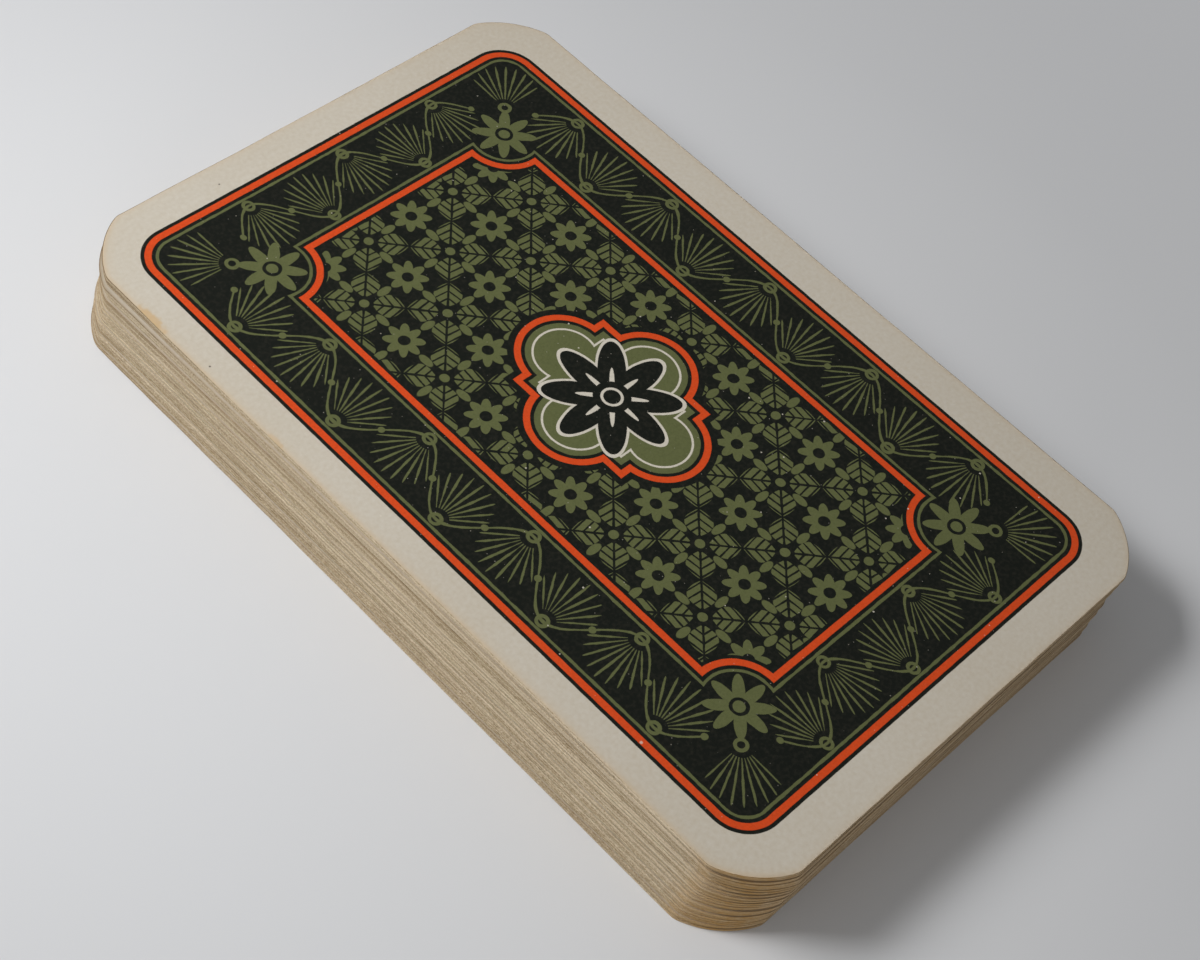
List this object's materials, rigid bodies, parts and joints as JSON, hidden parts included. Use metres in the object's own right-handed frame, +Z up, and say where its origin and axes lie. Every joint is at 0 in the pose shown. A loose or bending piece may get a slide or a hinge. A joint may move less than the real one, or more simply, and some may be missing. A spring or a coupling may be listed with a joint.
{
  "type": "playing card deck",
  "caption": "Squared pack of playing cards with ornamental backs: the cards fan about one corner, the upper packet lifts off as a cut, and the top card slides off to be dealt.",
  "frame": {"origin": "under the middle of the pack, on the face that it rests on", "axes": "+Z up through the pack, +Y along the cards, +X across them"},
  "size_m": [0.0608, 0.0913, 0.0102],
  "materials": {
    "pasteboard": "aged uncoated pasteboard with a litho-printed back"
  },
  "bodies": {
    "seven_of_clubs": {"seven_of_clubs": "pasteboard"},
    "eight_of_clubs": {"eight_of_clubs": "pasteboard"},
    "nine_of_clubs": {"nine_of_clubs": "pasteboard"},
    "ten_of_clubs": {"ten_of_clubs": "pasteboard"},
    "jack_of_clubs": {"jack_of_clubs": "pasteboard"},
    "queen_of_clubs": {"queen_of_clubs": "pasteboard"},
    "king_of_clubs": {"king_of_clubs": "pasteboard"},
    "ace_of_clubs": {"ace_of_clubs": "pasteboard"},
    "seven_of_spades": {"seven_of_spades": "pasteboard"},
    "eight_of_spades": {"eight_of_spades": "pasteboard"},
    "nine_of_spades": {"nine_of_spades": "pasteboard"},
    "ten_of_spades": {"ten_of_spades": "pasteboard"},
    "jack_of_spades": {"jack_of_spades": "pasteboard"},
    "queen_of_spades": {"queen_of_spades": "pasteboard"},
    "king_of_spades": {"king_of_spades": "pasteboard"},
    "ace_of_spades": {"ace_of_spades": "pasteboard"},
    "seven_of_hearts": {"seven_of_hearts": "pasteboard"},
    "eight_of_hearts": {"eight_of_hearts": "pasteboard"},
    "nine_of_hearts": {"nine_of_hearts": "pasteboard"},
    "ten_of_hearts": {"ten_of_hearts": "pasteboard"},
    "jack_of_hearts": {"jack_of_hearts": "pasteboard"},
    "queen_of_hearts": {"queen_of_hearts": "pasteboard"},
    "king_of_hearts": {"king_of_hearts": "pasteboard"},
    "ace_of_hearts": {"ace_of_hearts": "pasteboard"},
    "seven_of_diamonds": {"seven_of_diamonds": "pasteboard"},
    "eight_of_diamonds": {"eight_of_diamonds": "pasteboard"},
    "nine_of_diamonds": {"nine_of_diamonds": "pasteboard"},
    "ten_of_diamonds": {"ten_of_diamonds": "pasteboard"},
    "jack_of_diamonds": {"jack_of_diamonds": "pasteboard"},
    "queen_of_diamonds": {"queen_of_diamonds": "pasteboard"},
    "king_of_diamonds": {"king_of_diamonds": "pasteboard"},
    "ace_of_diamonds": {"ace_of_diamonds": "pasteboard"}
  },
  "joints": [
    {"name": "fan_eight_of_clubs", "type": "hinge", "parent": "seven_of_clubs", "child": "eight_of_clubs", "pos_m": [-0.02031, -0.03601, 0], "axis": [0, 0, 1], "range_deg": [0, 4]},
    {"name": "fan_nine_of_clubs", "type": "hinge", "parent": "seven_of_clubs", "child": "nine_of_clubs", "pos_m": [-0.02031, -0.03601, 0], "axis": [0, 0, 1], "range_deg": [0, 8]},
    {"name": "fan_ten_of_clubs", "type": "hinge", "parent": "seven_of_clubs", "child": "ten_of_clubs", "pos_m": [-0.02031, -0.03601, 0], "axis": [0, 0, 1], "range_deg": [0, 12]},
    {"name": "fan_jack_of_clubs", "type": "hinge", "parent": "seven_of_clubs", "child": "jack_of_clubs", "pos_m": [-0.02031, -0.03601, 0], "axis": [0, 0, 1], "range_deg": [0, 16]},
    {"name": "fan_queen_of_clubs", "type": "hinge", "parent": "seven_of_clubs", "child": "queen_of_clubs", "pos_m": [-0.02031, -0.03601, 0], "axis": [0, 0, 1], "range_deg": [0, 20]},
    {"name": "fan_king_of_clubs", "type": "hinge", "parent": "seven_of_clubs", "child": "king_of_clubs", "pos_m": [-0.02031, -0.03601, 0], "axis": [0, 0, 1], "range_deg": [0, 24]},
    {"name": "fan_ace_of_clubs", "type": "hinge", "parent": "seven_of_clubs", "child": "ace_of_clubs", "pos_m": [-0.02031, -0.03601, 0], "axis": [0, 0, 1], "range_deg": [0, 28]},
    {"name": "fan_seven_of_spades", "type": "hinge", "parent": "seven_of_clubs", "child": "seven_of_spades", "pos_m": [-0.02031, -0.03601, 0], "axis": [0, 0, 1], "range_deg": [0, 32]},
    {"name": "fan_eight_of_spades", "type": "hinge", "parent": "seven_of_clubs", "child": "eight_of_spades", "pos_m": [-0.02031, -0.03601, 0], "axis": [0, 0, 1], "range_deg": [0, 36]},
    {"name": "fan_nine_of_spades", "type": "hinge", "parent": "seven_of_clubs", "child": "nine_of_spades", "pos_m": [-0.02031, -0.03601, 0], "axis": [0, 0, 1], "range_deg": [0, 40]},
    {"name": "fan_ten_of_spades", "type": "hinge", "parent": "seven_of_clubs", "child": "ten_of_spades", "pos_m": [-0.02031, -0.03601, 0], "axis": [0, 0, 1], "range_deg": [0, 44]},
    {"name": "fan_jack_of_spades", "type": "hinge", "parent": "seven_of_clubs", "child": "jack_of_spades", "pos_m": [-0.02031, -0.03601, 0], "axis": [0, 0, 1], "range_deg": [0, 48]},
    {"name": "fan_queen_of_spades", "type": "hinge", "parent": "seven_of_clubs", "child": "queen_of_spades", "pos_m": [-0.02031, -0.03601, 0], "axis": [0, 0, 1], "range_deg": [0, 52]},
    {"name": "fan_king_of_spades", "type": "hinge", "parent": "seven_of_clubs", "child": "king_of_spades", "pos_m": [-0.02031, -0.03601, 0], "axis": [0, 0, 1], "range_deg": [0, 56]},
    {"name": "fan", "type": "hinge", "parent": "seven_of_clubs", "child": "ace_of_spades", "pos_m": [-0.02031, -0.03601, 0], "axis": [0, 0, 1], "range_deg": [0, 60]},
    {"name": "cut", "type": "slide", "parent": "ace_of_spades", "child": "seven_of_hearts", "axis": [0, 0, 1], "range_m": [0, 0.04]},
    {"name": "fan_eight_of_hearts", "type": "hinge", "parent": "seven_of_hearts", "child": "eight_of_hearts", "pos_m": [-0.02031, -0.03601, 0], "axis": [0, 0, 1], "range_deg": [0, 4]},
    {"name": "fan_nine_of_hearts", "type": "hinge", "parent": "seven_of_hearts", "child": "nine_of_hearts", "pos_m": [-0.02031, -0.03601, 0], "axis": [0, 0, 1], "range_deg": [0, 8]},
    {"name": "fan_ten_of_hearts", "type": "hinge", "parent": "seven_of_hearts", "child": "ten_of_hearts", "pos_m": [-0.02031, -0.03601, 0], "axis": [0, 0, 1], "range_deg": [0, 12]},
    {"name": "fan_jack_of_hearts", "type": "hinge", "parent": "seven_of_hearts", "child": "jack_of_hearts", "pos_m": [-0.02031, -0.03601, 0], "axis": [0, 0, 1], "range_deg": [0, 16]},
    {"name": "fan_queen_of_hearts", "type": "hinge", "parent": "seven_of_hearts", "child": "queen_of_hearts", "pos_m": [-0.02031, -0.03601, 0], "axis": [0, 0, 1], "range_deg": [0, 20]},
    {"name": "fan_king_of_hearts", "type": "hinge", "parent": "seven_of_hearts", "child": "king_of_hearts", "pos_m": [-0.02031, -0.03601, 0], "axis": [0, 0, 1], "range_deg": [0, 24]},
    {"name": "fan_ace_of_hearts", "type": "hinge", "parent": "seven_of_hearts", "child": "ace_of_hearts", "pos_m": [-0.02031, -0.03601, 0], "axis": [0, 0, 1], "range_deg": [0, 28]},
    {"name": "fan_seven_of_diamonds", "type": "hinge", "parent": "seven_of_hearts", "child": "seven_of_diamonds", "pos_m": [-0.02031, -0.03601, 0], "axis": [0, 0, 1], "range_deg": [0, 32]},
    {"name": "fan_eight_of_diamonds", "type": "hinge", "parent": "seven_of_hearts", "child": "eight_of_diamonds", "pos_m": [-0.02031, -0.03601, 0], "axis": [0, 0, 1], "range_deg": [0, 36]},
    {"name": "fan_nine_of_diamonds", "type": "hinge", "parent": "seven_of_hearts", "child": "nine_of_diamonds", "pos_m": [-0.02031, -0.03601, 0], "axis": [0, 0, 1], "range_deg": [0, 40]},
    {"name": "fan_ten_of_diamonds", "type": "hinge", "parent": "seven_of_hearts", "child": "ten_of_diamonds", "pos_m": [-0.02031, -0.03601, 0], "axis": [0, 0, 1], "range_deg": [0, 44]},
    {"name": "fan_jack_of_diamonds", "type": "hinge", "parent": "seven_of_hearts", "child": "jack_of_diamonds", "pos_m": [-0.02031, -0.03601, 0], "axis": [0, 0, 1], "range_deg": [0, 48]},
    {"name": "fan_queen_of_diamonds", "type": "hinge", "parent": "seven_of_hearts", "child": "queen_of_diamonds", "pos_m": [-0.02031, -0.03601, 0], "axis": [0, 0, 1], "range_deg": [0, 52]},
    {"name": "fan_king_of_diamonds", "type": "hinge", "parent": "seven_of_hearts", "child": "king_of_diamonds", "pos_m": [-0.02031, -0.03601, 0], "axis": [0, 0, 1], "range_deg": [0, 56]},
    {"name": "deal", "type": "slide", "parent": "king_of_diamonds", "child": "ace_of_diamonds", "axis": [1, 0, 0], "range_m": [0, 0.066]}
  ],
  "couplings": [
    {"joint": "fan_eight_of_clubs", "follows": "fan", "ratio": 0.066667},
    {"joint": "fan_nine_of_clubs", "follows": "fan", "ratio": 0.13333},
    {"joint": "fan_ten_of_clubs", "follows": "fan", "ratio": 0.2},
    {"joint": "fan_jack_of_clubs", "follows": "fan", "ratio": 0.26667},
    {"joint": "fan_queen_of_clubs", "follows": "fan", "ratio": 0.33333},
    {"joint": "fan_king_of_clubs", "follows": "fan", "ratio": 0.4},
    {"joint": "fan_ace_of_clubs", "follows": "fan", "ratio": 0.46667},
    {"joint": "fan_seven_of_spades", "follows": "fan", "ratio": 0.53333},
    {"joint": "fan_eight_of_spades", "follows": "fan", "ratio": 0.6},
    {"joint": "fan_nine_of_spades", "follows": "fan", "ratio": 0.66667},
    {"joint": "fan_ten_of_spades", "follows": "fan", "ratio": 0.73333},
    {"joint": "fan_jack_of_spades", "follows": "fan", "ratio": 0.8},
    {"joint": "fan_queen_of_spades", "follows": "fan", "ratio": 0.86667},
    {"joint": "fan_king_of_spades", "follows": "fan", "ratio": 0.93333},
    {"joint": "fan_eight_of_hearts", "follows": "fan", "ratio": 0.066667},
    {"joint": "fan_nine_of_hearts", "follows": "fan", "ratio": 0.13333},
    {"joint": "fan_ten_of_hearts", "follows": "fan", "ratio": 0.2},
    {"joint": "fan_jack_of_hearts", "follows": "fan", "ratio": 0.26667},
    {"joint": "fan_queen_of_hearts", "follows": "fan", "ratio": 0.33333},
    {"joint": "fan_king_of_hearts", "follows": "fan", "ratio": 0.4},
    {"joint": "fan_ace_of_hearts", "follows": "fan", "ratio": 0.46667},
    {"joint": "fan_seven_of_diamonds", "follows": "fan", "ratio": 0.53333},
    {"joint": "fan_eight_of_diamonds", "follows": "fan", "ratio": 0.6},
    {"joint": "fan_nine_of_diamonds", "follows": "fan", "ratio": 0.66667},
    {"joint": "fan_ten_of_diamonds", "follows": "fan", "ratio": 0.73333},
    {"joint": "fan_jack_of_diamonds", "follows": "fan", "ratio": 0.8},
    {"joint": "fan_queen_of_diamonds", "follows": "fan", "ratio": 0.86667},
    {"joint": "fan_king_of_diamonds", "follows": "fan", "ratio": 0.93333}
  ]
}
